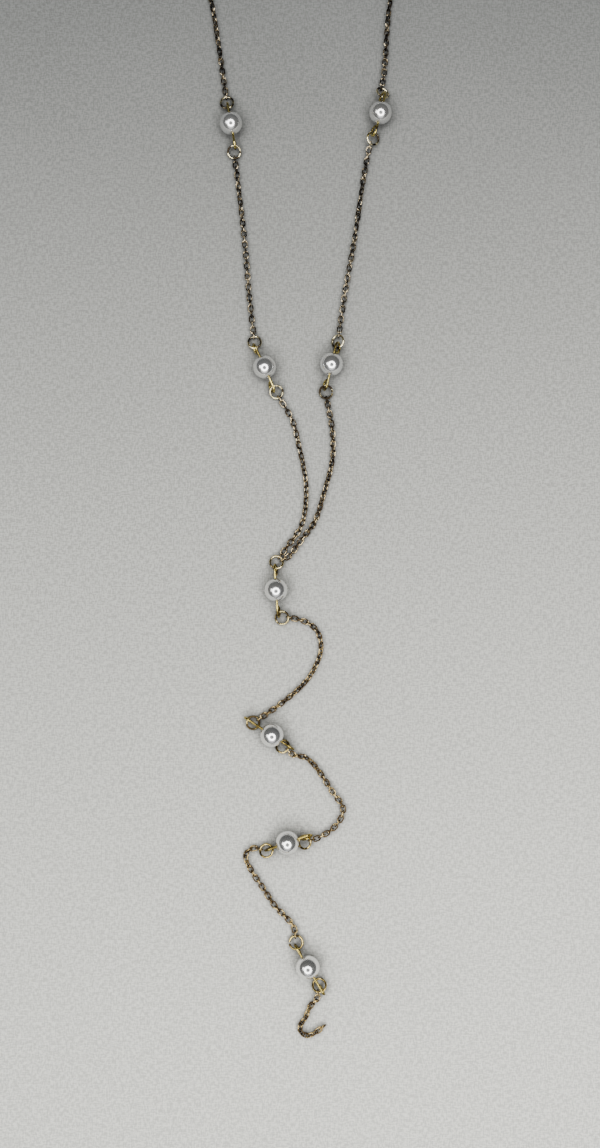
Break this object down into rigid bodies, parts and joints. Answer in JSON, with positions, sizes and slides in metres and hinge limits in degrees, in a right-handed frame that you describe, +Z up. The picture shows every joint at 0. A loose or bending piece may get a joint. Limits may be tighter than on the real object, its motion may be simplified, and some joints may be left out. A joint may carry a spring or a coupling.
{
  "type": "lariat necklace",
  "caption": "Lariat necklace of fine chain with round pearls on eye pins, a neck loop and a hanging drop that ends in a free tail.",
  "frame": {"origin": "centre of the footprint, on the surface the necklace lies on", "axes": "+Y from the free tail towards the clasp at the back of the neck; +X towards the wearer's left when laid out face up, the picture's right; +Z up from the surface"},
  "size_m": [0.0654, 0.3316, 0.006],
  "materials": {
    "pearl": "glossy white pearl coating",
    "pin_gold": "polished yellow gold plating",
    "ring_gold": "polished pale gold plating",
    "chain": "aged brown gold"
  },
  "bodies": {
    "root": {"pearl_1": "pearl", "pearl_2": "pearl", "pearl_3": "pearl", "pearl_4": "pearl", "pearl_5": "pearl", "pearl_6": "pearl", "pearl_7": "pearl", "pearl_8": "pearl", "eye_pin_1": "pin_gold", "eye_pin_2": "pin_gold", "eye_pin_3": "pin_gold", "eye_pin_4": "pin_gold", "eye_pin_5": "pin_gold", "eye_pin_6": "pin_gold", "eye_pin_7": "pin_gold", "eye_pin_8": "pin_gold", "jump_ring_1": "ring_gold", "jump_ring_2": "ring_gold", "jump_ring_3": "ring_gold", "jump_ring_4": "ring_gold", "jump_ring_5": "ring_gold", "jump_ring_6": "ring_gold", "jump_ring_7": "ring_gold", "jump_ring_8": "ring_gold", "jump_ring_9": "ring_gold", "jump_ring_10": "ring_gold", "jump_ring_11": "ring_gold", "jump_ring_12": "ring_gold", "jump_ring_13": "ring_gold", "jump_ring_14": "ring_gold", "jump_ring_15": "ring_gold", "jump_ring_16": "ring_gold", "chain_left_upper": "chain", "chain_right_upper": "chain", "chain_left_lower": "chain", "chain_right_lower": "chain", "chain_drop_1": "chain", "chain_drop_2": "chain", "chain_drop_3": "chain", "chain_tail": "chain", "neck_chain_left": "chain", "neck_chain_right": "chain", "clasp": "ring_gold"}
  },
  "joints": []
}
